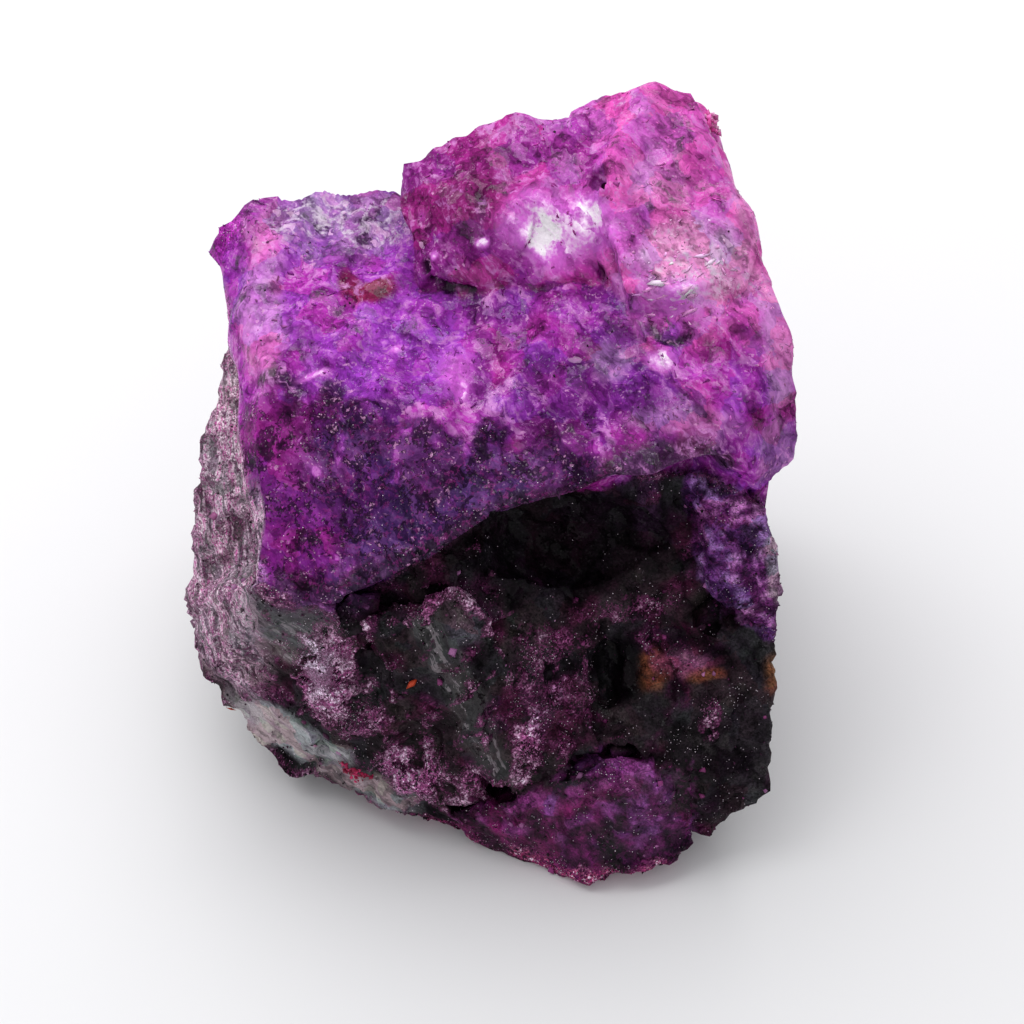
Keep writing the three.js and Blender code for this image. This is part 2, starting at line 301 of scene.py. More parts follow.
def shrink_net(middle, radius, start_cells, passes):
    """The stone's surface as six square nets, a function of two parameters on each side of a cube.
    A coarse net is blown up to that radius in mm and shrunk on to the stone along rays from its
    middle. Then it is evened out, laid back on the stone, and halved in mesh, over and over. Each
    pass says how many times the net is evened out, and how far it is lifted first in mm."""
    cells = start_cells
    net, place = cube_net(cells)
    ray = np.tan((place / cells - 0.5) * math.pi / 2)
    ray /= np.linalg.norm(ray, axis=1, keepdims=True)
    points = middle + ray * radius
    for _ in range(60):
        points -= ray * np.maximum(height_over(points)[0], 0)[:, None] * 0.98
    for turns, lift in passes:
        faces, pairs = four_corners(net), neighbours(net)
        for _ in range(turns):
            out = outward(points, faces)
            pull = beside(points, pairs) - points
            pull -= out * (pull * out).sum(1, keepdims=True)
            moved = lay_on_stone(points + 0.8 * pull, out, lift)
            astray = np.abs(height_over(moved)[0]) > ASTRAY
            points = np.where(astray[:, None], beside(points, pairs), moved)
        if (turns, lift) == passes[-1]:
            return points, net, faces, pairs
        coarse = points[net]
        fine = np.zeros((6, 2 * cells + 1, 2 * cells + 1, 3))
        fine[:, ::2, ::2] = coarse
        fine[:, 1::2, ::2] = (coarse[:, 1:] + coarse[:, :-1]) / 2
        fine[:, :, 1::2] = (fine[:, :, 2::2] + fine[:, :, :-1:2]) / 2
        cells *= 2
        net, place = cube_net(cells)
        points = np.zeros((len(place), 3))
        points[net.ravel()] = fine.reshape(-1, 3)


home, net, stone_faces, threads = shrink_net(
    np.array([0, 3, 27.0]), 60, 16, [(60, 2.0), (40, 1.5), (16, 0.8), (6, 0.5)])

# The broken faces aren't flat: slow ripples cross the stone. Each runs along one direction and
# pushes the surface along another, with its own length, depth and start.
RIPPLES = [
    ((0.83, 0.46, 0.31), (0.20, -0.55, 0.81), 15.0, 0.36, 0.4),
    ((-0.52, 0.68, 0.51), (0.62, 0.30, 0.72), 10.5, 0.30, 2.1),
    ((0.35, -0.47, 0.81), (0.77, -0.60, 0.22), 8.1, 0.24, 3.7),
    ((0.64, 0.71, -0.29), (-0.48, 0.52, 0.71), 6.3, 0.16, 5.2),
    ((-0.27, 0.90, -0.34), (0.70, 0.10, 0.71), 5.1, 0.15, 1.3),
    ((0.45, 0.38, 0.81), (0.30, -0.85, 0.43), 4.3, 0.15, 0.9),
    ((-0.76, 0.31, 0.57), (0.41, 0.57, 0.71), 3.7, 0.14, 4.4),
    ((0.87, -0.49, 0.06), (0.10, 0.40, 0.91), 4.7, 0.16, 2.7),
]
# The ripples fade out over this many mm above the table, so that the resting face is flat.
REST_FADE = 2.5


def smooth_step(value, low, high):
    """0 below low, 1 above high, and an S-shaped rise between them."""
    t = np.clip((value - low) / (high - low), 0, 1)
    return t * t * (3 - 2 * t)


rippled = home.copy()
for run, push, length, depth, start in RIPPLES:
    swell = depth * np.sin(2 * math.pi * (home @ np.array(run)) / length + start)
    rippled += (swell * smooth_step(home[:, 2], 0, REST_FADE))[:, None] * np.array(push)
# The heap's own box, and the box of the solid that it is brought to.
HEAP_LOW = np.array([-25.42, -22.00, 0])
HEAP_HIGH = np.array([24.34, 23.84, 48.47])
low, high = (np.array(corner) * 1000 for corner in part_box("rough_sapphire"))
body = low + (rippled - HEAP_LOW) * (high - low) / (HEAP_HIGH - HEAP_LOW)


# The tables of random numbers repeat after this many grid cells.
TILE = 32


def lumps(points, size, seed):
    """Smooth random numbers from -1 to 1: random values on a cubic grid of that size in mm, blended."""
    table = np.random.RandomState(seed).uniform(-1, 1, (TILE, TILE, TILE))
    grid = points / size
    corner = np.floor(grid).astype(int)
    t = grid - corner
    t = t * t * (3 - 2 * t)
    total = 0
    for step in itertools.product((0, 1), repeat=3):
        i, j, k = (corner + step).T % TILE
        total = total + np.prod(np.where(step, t, 1 - t), axis=1) * table[i, j, k]
    return total


def grains_of(points, size, seed):
    """Crystal cells: every point belongs to the nearest of scattered seeds, one in each cube of that size.
    Gives each point's offset from its cell's seed, and the cell's own four random numbers."""
    table = np.random.RandomState(seed).uniform(0, 1, (TILE, TILE, TILE, 7))
    corner = np.floor(points / size).astype(int)
    nearest = np.full(len(points), 1e9)
    offset = np.zeros((len(points), 3))
    own = np.zeros((len(points), 4))
    for step in itertools.product((-1, 0, 1), repeat=3):
        cell = corner + step
        i, j, k = cell.T % TILE
        draw = table[i, j, k]
        away = points - (cell + draw[:, :3]) * size
        far = np.linalg.norm(away, axis=1)
        nearer = far < nearest
        nearest = np.where(nearer, far, nearest)
        offset[nearer] = away[nearer]
        own[nearer] = draw[nearer, 3:]
    return offset, own


def under(names):
    """How far each knot is above the named blocks alone, in mm, up to NEAR."""
    return height_over(home, names, hollows=False)[0]


CROWN = ("left_crown", "ear", "middle_crown", "right_crown", "right_terrace", "lump")
x, y, z = home.T
out = outward(body, stone_faces)
crown = smooth_step(-under(CROWN) + 0.25 * lumps(home, 1.3, 3), -0.55, -0.05)
# The left side is banded, up to a line across the crown's flank.
banded = smooth_step(-x + 0.8 * lumps(home, 2.0, 4), 17.8, 20.5) * smooth_step(z, 9, 13) * (1 - crown)
flank = smooth_step(-out[:, 0], 0.6, 0.85) * smooth_step(-x, 14, 18) * crown
flank *= smooth_step(31.5 + 0.12 * y - z + 0.6 * lumps(home, 1.5, 4), 0, 2)
banded = np.maximum(banded, flank)


def line(corners, width):
    """1 along a bent line through the corners, falling to 0 at that many mm from it, with torn edges."""
    away = np.full(len(home), 1e9)
    for start, end in zip(corners[:-1], corners[1:]):
        start, end = np.array(start), np.array(end)
        t = np.clip((home - start) @ (end - start) / ((end - start) @ (end - start)), 0, 1)
        away = np.minimum(away, np.linalg.norm(home - start - t[:, None] * (end - start), axis=1))
    return 1 - smooth_step(away + 0.3 * lumps(home, 0.8, 14), 0.35 * width, width)


# Open cracks on the crown: round the foot of the lump, and in an arc across the right block.
cracks = np.max([
    line([(-5.3, 10.7, 40.4), (-4.7, 9.4, 39.4), (-3.5, 9.2, 38.8), (-1.4, 9.1, 39.2)], 0.42),
    0.6 * line([(9.1, 12.4, 46.4), (9.1, 10.1, 45.4), (9.4, 8.1, 42.8), (10.9, 4.4, 42.4)], 0.5),
    line([(12.5, 3.6, 41.2), (13.4, 2.2, 40.6), (14.6, 2.2, 40.6), (15.6, 2.8, 40.7)], 0.6),
    0.35 * line([(14.2, 0.6, 39.9), (15.0, -1.0, 38.9), (16.6, -2.6, 37.7), (18.6, -3.9, 36.8)], 0.42),
    0.8 * line([(-1.1, 14.3, 44.4), (-0.9, 13.1, 44.2), (-1.5, 11.8, 43.4)], 0.6),
    0.6 * line([(12.0, 0.5, 39.6), (11.4, -0.8, 39.0)], 0.5)], axis=0)

# Broken relief along the normal: tilted cleavage cells and finer chips, both much deeper off the
# crown, and fine grooves along the banded left side. Sizes and depths are in mm.
CELL = 3.0
CHIP = 1.25
BAND_PITCH = 1.3
BAND_DEPTH = 0.07
CRACK_DEPTH = 0.45
bend = 0.5 * np.stack([lumps(home, 2.2, seed) for seed in (5, 6, 7)], 1)
cell_offset, cell_draw = grains_of(home + bend, CELL, 11)
chip_offset, chip_draw = grains_of(home, CHIP, 12)
cell_tilt = ((cell_draw[:, :3] - 0.5) * cell_offset).sum(1)
chip_tilt = ((chip_draw[:, :3] - 0.5) * chip_offset).sum(1)
cell_step = cell_draw[:, 3] - 0.5
chip_step = chip_draw[:, 3] - 0.5
bands = np.sin(2 * math.pi * (x * 0.9 - 0.5 * z + 0.5 * lumps(home, 4, 8)) / BAND_PITCH)
smooth_relief = 0.13 * cell_tilt + 0.10 * cell_step + 0.05 * chip_tilt + 0.03 * lumps(home, 0.9, 9)
rough_relief = (0.34 * cell_tilt + 0.24 * cell_step + 0.34 * chip_tilt + 0.20 * chip_step
                + 0.09 * lumps(home, 0.7, 10))
relief = crown * (1 - banded) * smooth_relief + (1 - crown) * rough_relief
relief += banded * BAND_DEPTH * bands - CRACK_DEPTH * cracks


def round_about(points, middle, inner, outer):
    """1 within the inner distance of a place, in mm, falling to 0 at the outer one."""
    return 1 - smooth_step(np.linalg.norm(points - np.array(middle), axis=1), inner, outer)


# The granular corner at the top left and the front foot's lower edge stand out a little further
# than their blocks, and a small round hole goes in where the lump meets the right block.
CORNER_PUSH = 1.4
FOOT_PUSH = 0.8
PINHOLE = (9.5, 12.8, 45.6)
PINHOLE_DEPTH = 0.5
relief += CORNER_PUSH * round_about(home, (-24, 18.5, 34.5), 0.5, 3.2)
relief *= smooth_step(z, 0.15, 1.2)
stone_points = body + out * relief[:, None]
stone_points[:, 1] -= FOOT_PUSH * round_about(home, (9.5, -21.5, 0.5), 1.0, 5.5)
stone_points -= out * (PINHOLE_DEPTH * round_about(stone_points, PINHOLE, 0.3, 0.8))[:, None]
stone_points[:, 2] = np.maximum(stone_points[:, 2], 0)


# The stone's colours are worked out from place on it: violet and pink on the crown, and nearly black
# on the broken front, with painted shade in its recess, pit and creases, a violet shoulder, foot and back,
# grey glass and a little amber.
def linear(red, green, blue):
    """A colour given on a 0 to 255 scale, as the light it stands for."""
    c = np.array([red, green, blue]) / 255
    return np.where(c <= 0.04045, c / 12.92, ((c + 0.055) / 1.055) ** 2.4)


def painted(ground, coats):
    """The ground colour under coats of other colours. Each coat is a colour and its share at each point."""
    for colour, share in coats:
        ground = ground + (colour - ground) * share[:, None]
    return ground


def on(names):
    """1 where the surface belongs to the named blocks, 0 a little way off them."""
    return 1 - smooth_step(under(names) + 0.3 * lumps(home, 1.1, 31), 0.05, 0.4)


def patch(middle, reach, ragged=0.5, soft=0.35):
    """1 inside an ellipsoid round a point, falling to 0 across a ragged edge."""
    away = np.linalg.norm((home - np.array(middle)) / np.array(reach), axis=1)
    away += ragged * (0.6 * lumps(home, 1.9, 32) + 0.4 * lumps(home, 0.7, 33))
    return 1 - smooth_step(away, 1 - soft, 1 + soft)


def patches(places, ragged=0.5, soft=0.35):
    """The strongest of several patches at each point. Each has its middle, reach and strength."""
    shares = [strength * patch(middle, reach, ragged, soft) for middle, reach, strength in places]
    return np.max(shares, axis=0)


def stained(ground, stains):
    """The ground colour with stains on it. Each has its middle, reach, colour and strength."""
    coats = [(colour, share * patch(middle, reach)) for middle, reach, colour, share in stains]
    return painted(ground, coats)


def bulge(rounds):
    """How far each knot stands out from the mean of those round it: over 0 on edges, under 0 in creases."""
    mean = stone_points
    for _ in range(rounds):
        mean = beside(mean, threads)
    return ((stone_points - mean) * out).sum(1)


LILAC = linear(166, 56, 180)
MAGENTA = linear(164, 44, 150)
ROSE = linear(214, 90, 184)
PALE = linear(222, 156, 208)
MILK = linear(214, 198, 216)
VIOLET = linear(122, 36, 130)
INDIGO = linear(94, 60, 114)
PLUM = linear(136, 30, 116)
NIGHT = linear(26, 8, 30)
RUST = linear(112, 12, 40)

clouds_wide = lumps(home, 4.6, 21)
clouds_mid = lumps(home, 2.6, 22)
clouds_fine = lumps(home, 1.1, 23)
clouds_mixed = clouds_wide + 0.5 * clouds_fine
left_part = on(("left_crown", "ear"))
lump_part = on(("lump",))
middle_part = on(("middle_crown",)) * (1 - lump_part)
right_part = on(("right_crown", "right_terrace")) * (1 - lump_part)
edges = smooth_step(bulge(8), 0.10, 0.35)
creases = smooth_step(-bulge(8), 0.06, 0.30)

crown_tint = painted(MAGENTA, [
    (LILAC, smooth_step(clouds_mid + 0.4 * clouds_fine, -0.4, 0.3)),
    (LILAC, 0.7 * left_part),
    (linear(186, 58, 156), 0.75 * lump_part),
    (PLUM, lump_part * smooth_step(6.0 - x + 3 * clouds_mid, 2, 7) * 0.75),
    (VIOLET, middle_part * smooth_step(clouds_mixed, -0.7, 0.3) * 0.8),
    (ROSE, right_part * smooth_step(clouds_mixed + 0.12 * (y - 3), -0.9, 0.1))])
# The lower, steeper part of the left and middle blocks is deep violet, and magenta at its left.
lower = smooth_step(1.9 - 0.3 * (x + 18.7) - y + 1.4 * clouds_mid + 0.7 * clouds_fine, -0.8, 1.4)
lower *= np.maximum(left_part, middle_part) * smooth_step(14 - x + 2 * clouds_mid, 0, 5)
lower_tint = painted(INDIGO, [(linear(164, 44, 150), smooth_step(-clouds_wide - 0.16 * (x + 14), -0.5, 0.5))])
crown_tint = painted(crown_tint, [(lower_tint, 0.85 * lower)])
crown_tint = stained(crown_tint, [
    ((-12.0, 17.6, 38.3), (8.0, 3.4, 3.0), linear(160, 106, 164), 0.75),
    ((-18.7, 10.0, 36.5), (1.8, 9.5, 3.5), linear(236, 140, 212), 0.6),
    ((16.4, 7.6, 43.6), (4.6, 3.6, 3.0), linear(232, 168, 216), 0.8),
    ((12.5, 14.0, 46.0), (2.6, 3.0, 2.0), PALE, 0.35),
    ((22.5, 3.0, 40.0), (1.4, 9.0, 5.0), PALE, 0.5),
    ((20.0, 14.0, 44.5), (1.3, 7.0, 3.0), PALE, 0.6),
    ((14.5, -3.4, 37.2), (4.2, 1.2, 1.5), PALE, 0.3),
    ((9.4, 0.9, 39.2), (1.9, 1.2, 2.0), linear(180, 122, 176), 0.6),
    ((-11.9, 10.9, 37.6), (0.9, 1.4, 1.5), RUST, 0.85),
    ((-9.8, 9.6, 37.4), (2.1, 1.3, 1.8), linear(136, 20, 46), 0.9),
    ((-17.3, 11.8, 37.0), (0.7, 0.8, 1.0), RUST, 0.6),
    ((-1.5, 14.5, 44.0), (3.5, 2.5, 3.0), linear(96, 24, 72), 0.45),
    ((22.8, -2.8, 33.0), (2.5, 2.5, 3.0), linear(150, 104, 146), 0.6),
    ((-18.0, 2.6, 35.3), (1.9, 0.9, 1.5), NIGHT, 0.85),
    ((-15.9, 1.0, 35.6), (0.9, 1.9, 1.5), NIGHT, 0.8),
    ((-12.3, 0.8, 36.0), (1.2, 1.0, 1.5), NIGHT, 0.85),
    ((-11.0, -1.4, 35.4), (0.8, 1.5, 1.5), NIGHT, 0.6),
    ((-7.5, -1.0, 36.2), (1.6, 0.6, 1.2), NIGHT, 0.55),
    ((4.3, -3.6, 36.5), (3.6, 1.0, 1.2), NIGHT, 0.4),
    ((-8.0, -8.5, 31.5), (8.0, 3.0, 2.2), linear(58, 24, 74), 0.5)])

DARK = linear(44, 37, 41)
AMBER = linear(134, 82, 52)
foot_part = on(("front_foot",))
shoulder_part = on(("right_shoulder",))
back_part = smooth_step(y + 2 * clouds_wide, 10, 16)
spots = lumps(home, 0.55, 26) + 0.5 * clouds_fine
tint = painted(DARK, [
    (linear(62, 60, 58), 0.6 * smooth_step(clouds_mixed, -0.1, 0.5)),
    (linear(66, 18, 50), 0.8 * smooth_step(clouds_mid + 0.5 * clouds_fine, -0.1, 0.5)),
    (linear(14, 6, 12), 0.85 * smooth_step(lumps(home, 1.7, 24) + 0.4 * clouds_fine, 0.0, 0.5)),
    (linear(112, 54, 112), 0.8 * back_part * smooth_step(clouds_wide + 0.4 * clouds_fine, -0.5, 0.3)),
    (linear(116, 58, 124), 0.95 * shoulder_part * smooth_step(clouds_mid, -1.0, 0.0)),
    (linear(204, 146, 212), 0.7 * shoulder_part * smooth_step(spots, 0.15, 0.55)),
    (linear(34, 14, 38), 0.75 * shoulder_part * smooth_step(-spots - 0.5 * clouds_mid, 0.05, 0.5)),
    (linear(118, 34, 96), 0.9 * foot_part * smooth_step(clouds_mid + 0.3 * clouds_fine, -0.6, 0.2)),
    (linear(24, 8, 22), 0.85 * foot_part * smooth_step(lumps(home, 1.5, 25) + 0.6 * clouds_fine, -0.25, 0.2)),
    (linear(170, 84, 164),
     0.6 * foot_part * smooth_step(clouds_fine + 0.5 * clouds_mid + 0.1 * (z - 6), 0.1, 0.5))])
tint = stained(tint, [
    ((-1.9, -12.3, 23.9), (1.6, 2.0, 2.6), linear(92, 82, 90), 0.75),
    ((-17.5, -11.5, 7.5), (6.0, 4.0, 2.6), linear(178, 174, 172), 0.95),
    ((-10.5, -14.5, 4.2), (5.5, 3.0, 1.9), linear(166, 158, 158), 0.9),
    ((-17.0, -11.0, 20.8), (5.0, 3.5, 3.4), linear(96, 92, 92), 0.75),
    ((13.2, -11.9, 16.6), (1.6, 1.6, 1.2), AMBER, 0.65),
    ((15.8, -12.0, 17.2), (2.2, 1.2, 1.0), linear(176, 98, 134), 0.7),
    ((17.2, -12.2, 16.2), (1.4, 1.2, 0.5), AMBER, 0.6),
    ((23.0, -11.5, 15.5), (1.0, 1.6, 1.6), AMBER, 0.9),
    ((23.0, -7.6, 25.5), (0.9, 1.5, 4.0), linear(170, 156, 168), 0.8),
    ((12.5, -4.7, 28.5), (1.0, 2.0, 3.5), linear(120, 70, 112), 0.7)])
# Painted shade: the recess under the ledge, where shade falls under the crown, is laid nearly black.
shaded_recess = patch((6.5, -6.0, 26.5), (9.5, 5.0, 5.5), 0.3, 0.3)
# Painted shade: the pit in the front is laid nearly black inside.
shaded_pit = patch((10.7, -11.6, 16.6), (1.7, 2.5, 2.6), 0.2, 0.3)
# A rough greyish rim runs along just under the crown's lower edge.
rim = (1 - crown) * (1 - smooth_step(under(CROWN) + 0.3 * clouds_fine, 0.5, 1.5)) * (1 - 0.6 * shaded_recess)
ledge_edge = line([
    (-16.6, -10.9, 26.3), (-12.8, -12.2, 26.1), (-7.0, -11.4, 29.1), (-3.0, -10.3, 31.1), (2.0, -8.9, 33.1),
    (7.0, -6.9, 33.0), (11.3, -6.5, 35.3), (15.4, -5.6, 35.9), (18.3, -4.3, 34.6)], 1.9)
side_rim = line([(-22.5, 14, 33.3), (-20.8, 6, 31.6), (-19.8, -1, 30), (-18.4, -10, 26)], 1.1)
joint_line = line([(-1.0, 9.0, 39.0), (-1.0, -3.5, 36.4), (-0.7, -9.3, 32.4)], 0.9)
tint = painted(tint, [
    (linear(13, 6, 12), 0.9 * shaded_recess), (linear(74, 48, 70), 0.7 * rim), (crown_tint, crown),
    (linear(74, 48, 68), 0.85 * ledge_edge), (linear(146, 116, 136), 0.9 * banded)])
# Painted shade: the creases are darkened to under half their colour, less so on the crown.
tint = painted(tint, [
    (tint * 0.45, creases * (1 - 0.4 * crown)), (linear(206, 160, 194), 0.55 * side_rim),
    (linear(96, 40, 104), 0.45 * joint_line), (NIGHT, 0.9 * cracks), (linear(4, 1, 4), 0.9 * shaded_pit)])

# How milky the stone is, where a painted glow lies on it as a painted highlight, how thick its own broken
# grains frost it, and how glassy it is.
milk = patches([
    ((-14.5, 17.8, 38.0), (5.5, 2.8, 3), 0.42), ((-9.0, 17.0, 38.6), (4.0, 2.4, 3), 0.42),
    ((-4.0, 19.5, 40.0), (3.0, 1.6, 3), 0.35), ((9.4, 0.9, 39.2), (1.8, 1.2, 2), 0.14),
    ((-5.5, 12.5, 41.0), (2.0, 1.2, 2.0), 0.25), ((16.5, 7.0, 43.4), (4.5, 3.5, 3.0), 0.42)], 0.5, 0.6)
milk = np.maximum(milk, 0.09 * right_part)
painted_glow = patches([
    ((5.6, 10.9, 44.2), (5.2, 3.0, 3.0), 0.5), ((4.4, 10.7, 43.7), (1.7, 1.6, 1.9), 1.0),
    ((8.0, 11.3, 45.2), (1.8, 1.2, 1.6), 0.66), ((-4.9, 10.8, 41.2), (0.4, 0.4, 0.5), 0.75),
    ((-1.3, 10.6, 42.4), (0.5, 0.25, 0.6), 0.8), ((-14.4, 2.4, 36.0), (1.4, 0.3, 1), 0.46),
    ((-7.3, 4.2, 37.2), (0.5, 0.4, 1), 0.44), ((-3.2, 1.6, 36.8), (1.5, 2.6, 1.5), 0.32),
    ((-2.6, 0.2, 36.5), (0.6, 1.0, 1.5), 0.48), ((13.5, 0.8, 39.8), (1.2, 0.8, 1.2), 0.56),
    ((15.0, 5.0, 42.6), (2.2, 1.3, 1.5), 0.5)], 0.35, 0.8)
frosted = patches([
    ((-13.6, -13.2, 18.0), (2.7, 3.0, 4.2), 1.3), ((-11.5, -14.0, 14.0), (2.2, 3.0, 3.0), 0.5),
    ((-6.5, -16.0, 7.5), (3.6, 3.0, 3.2), 0.85), ((-1.5, -16.0, 8.5), (1.6, 3.0, 2.0), 0.5),
    ((4.8, -13.8, 15.5), (3.4, 5.0, 5.0), 0.26), ((2.6, -15.5, 12.0), (1.3, 3.0, 4.5), 0.6),
    ((5.0, -11.5, 18.2), (2.0, 2.0, 1.6), 0.4), ((12.5, -4.7, 28.5), (1.3, 2.0, 4.0), 0.45),
    ((17.8, -14.7, 13.2), (0.8, 1.4, 1.4), 0.5), ((9.5, -21.0, 1.0), (9.0, 3.0, 1.6), 0.75),
    ((-9.0, -14.0, 1.0), (9.0, 3.0, 1.5), 0.7), ((-19.0, -9.5, 21.0), (4.0, 4.0, 3.0), 0.22),
    ((10.5, -8.5, 20.2), (5.0, 1.5, 1.2), 0.35)], 0.9, 0.6)
glassy_band = patches([
    ((-17.5, -11.5, 7.5), (6.0, 4.0, 2.6), 1.0), ((-10.5, -14.5, 4.2), (5.5, 3.0, 1.9), 1.0),
    ((-17.0, -11.0, 20.8), (5.0, 3.5, 3.4), 0.7)])
glassy_ridge = line([(-6.0, -12.6, 26.5), (-2.4, -15.6, 18.0), (0.8, -18.0, 9.5)], 2.0)
glass = np.max([0.8 * glassy_ridge, glassy_band, 0.3 * foot_part], axis=0) * (1 - crown) * (1 - edges)
frost = 0.05 + 0.20 * smooth_step(clouds_mid + 0.6 * clouds_fine, 0.2, 0.8)
frost = np.max([frost, frosted, (0.45 - 0.35 * smooth_step(x, 6, 12)) * edges, 0.35 * rim], axis=0)
frost *= (1 - crown) * (1 - 0.85 * creases)
frost *= (1 - 0.95 * shaded_recess) * (1 - 0.95 * shaded_pit) * (1 - 0.85 * glassy_band)
frost *= 1 - 0.7 * foot_part * smooth_step(z, 2, 4)
right_end = smooth_step(x - 0.8 * np.abs(z - 13.2), 9, 13)
frost *= 1 - 0.6 * right_end * (1 - patch((17.8, -14.7, 13.2), (1.2, 2.0, 2.0)))
corner_sugar = patch((-23.2, 18.6, 35.0), (2.4, 2.4, 2.4), 0.3)
frost = np.max([frost, 0.22 * banded, 0.5 * corner_sugar, 0.4 * side_rim, 0.12 * ledge_edge], axis=0)
# The frost's own colour: pinkish white, magenta where it is thick, lilac white in places, greyer
# along the banded side and crimson near the table.
sugar = painted(linear(206, 172, 198), [
    (linear(188, 100, 162), smooth_step(frost + 0.3 * clouds_mid, 0.25, 0.6)),
    (linear(228, 198, 222), smooth_step(clouds_fine + clouds_mid, 0.1, 0.9)),
    (linear(226, 206, 230), patch((-14.6, -13.0, 18.6), (1.6, 2.4, 3.0))),
    (linear(196, 166, 206), 0.5 * patch((4.4, -14.0, 14.5), (1.4, 2.0, 3.0))),
    (linear(196, 158, 186), 0.7 * banded),
    (linear(176, 48, 104), 0.9 * smooth_step(3.4 - z, 0, 1.5))])
# The lower crown is mottled with dark and bright spots, the foot and the shoulder about half as much.
mottled = np.max([lower, 0.45 * foot_part, 0.45 * shoulder_part], axis=0)
# The recess and the pit, the places laid with painted shade; fewer bright specks are put there.
shaded_hollow = np.maximum(shaded_recess, shaded_pit) * (1 - crown)


def mesh_from(name, points_mm, faces, **layers):
    """A mesh from whole arrays: points in mm, faces with all the same number of corners, and any
    colour layers, each with one colour a point."""
    mesh = bpy.data.meshes.new(name)
    faces = np.asarray(faces, np.int32)
    mesh.vertices.add(len(points_mm))
    mesh.vertices.foreach_set("co", (np.asarray(points_mm) * 0.001).astype(np.float32).ravel())
    mesh.loops.add(faces.size)
    mesh.loops.foreach_set("vertex_index", faces.ravel())
    mesh.polygons.add(len(faces))
    mesh.polygons.foreach_set("loop_start", np.arange(0, faces.size, faces.shape[1], dtype=np.int32))
    mesh.update(calc_edges=True)
    for layer_name, values in layers.items():
        layer = mesh.color_attributes.new(layer_name, "FLOAT_COLOR", "POINT")
        opaque = np.column_stack([values, np.ones(len(values))])
        layer.data.foreach_set("color", opaque.astype(np.float32).ravel())
    return mesh


stone_mesh = mesh_from(
    "rough_stone", stone_points, stone_faces, tint=tint, sugar=sugar, cover=np.stack([milk, frost, painted_glow], 1),
    kind=np.stack([crown, mottled, glass], 1), side=np.stack([banded, glassy_band, shaded_hollow], 1))
stone_mesh.polygons.foreach_set("use_smooth", np.ones(len(stone_faces), bool))
stone = bpy.data.objects.new("rough_stone", stone_mesh)
scene.collection.objects.link(stone)


# The stone's surface: violet crystal cells, shards and clouds over the colours above, with bands,
# veins, cracks, milky veils, sugary frost, dust and painted glints, a painted glow, painted shade in
# the small hole, and a clear skin where the stone is glassy.
violet_stone = bpy.data.materials.new("violet_stone")
violet_stone.use_nodes = True
tree = violet_stone.node_tree
shader = tree.nodes["Principled BSDF"]


def node(kind, inputs=None, **settings):
    """One node of the stone's shader. An input is a value, or another node's output."""
    new = tree.nodes.new("ShaderNode" + kind)
    for key, value in settings.items():
        setattr(new, key, value)
    for key, value in (inputs or {}).items():
        if isinstance(value, bpy.types.NodeSocket):
            tree.links.new(value, new.inputs[key])
        else:
            new.inputs[key].default_value = value
    return new


def sum_of(operation, a, b=0.0):
    """A sum on numbers: ADD, MULTIPLY and so on."""
    return node("Math", {0: a, 1: b}, operation=operation).outputs[0]


def added(*terms):
    """The sum of some numbers. A pair stands for a number drawn about 0, times a weight."""
    total = None
    for term in terms:
        if isinstance(term, tuple):
            term = sum_of("MULTIPLY", sum_of("SUBTRACT", term[0], 0.5), term[1])
        total = term if total is None else sum_of("ADD", total, term)
    return total


def times(*factors):
    """The product of some numbers."""
    total = factors[0]
    for factor in factors[1:]:
        total = sum_of("MULTIPLY", total, factor)
    return total


def rise(value, low, high, bottom=0.0, top=1.0):
    """An S-shaped step from bottom to top as the value goes from low to high."""
    ends = {"From Min": low, "From Max": high, "To Min": bottom, "To Max": top}
    return node("MapRange", {"Value": value, **ends}, interpolation_type="SMOOTHSTEP").outputs["Result"]


def laid(below, above, share, how="MIX"):
    """One colour over another in the shader."""
    below, above = [(*c, 1) if isinstance(c, (tuple, np.ndarray)) else c for c in (below, above)]
    return node("Mix", {0: share, 6: below, 7: above}, data_type="RGBA", blend_type=how).outputs[2]


def grey(value):
    """A colour whose three parts are the same number."""
    return node("CombineColor", {0: value, 1: value, 2: value}).outputs[0]


def parts(colour):
    """The three numbers of a colour."""
    return node("SeparateColor", {"Color": colour}).outputs[:3]


def layer(name):
    """A colour layer of the mesh."""
    return node("Attribute", attribute_name=name).outputs["Color"]


def vector(operation, a, b=(0, 0, 0), c=(0, 0, 0)):
    """A sum on places or directions."""
    return node("VectorMath", {0: a, 1: b, 2: c}, operation=operation).outputs[0]


def scaled(where, factor):
    """A place or direction times a number."""
    return node("VectorMath", {0: where, "Scale": factor}, operation="SCALE").outputs[0]


def between(a, b, share):
    """A place or direction that goes from a to b as the share goes from 0 to 1."""
    return node("Mix", {0: share, 4: a, 5: b}, data_type="VECTOR").outputs[1]


def cloudy(where, size, detail, rough=0.55):
    """Cloudy noise of that size in mm: its node."""
    return node("TexNoise", {"Vector": where, "Scale": 1 / size, "Detail": detail, "Roughness": rough})


def cells(where, size):
    """Crystal cells of that size in mm: their node."""
    return node("TexVoronoi", {"Vector": where, "Scale": 1 / size})


def shifted(where, colour, reach):
    """A place moved about by up to that many mm, by a noise colour."""
    return vector("MULTIPLY_ADD", vector("SUBTRACT", colour, (0.5, 0.5, 0.5)), (2 * reach,) * 3, where)


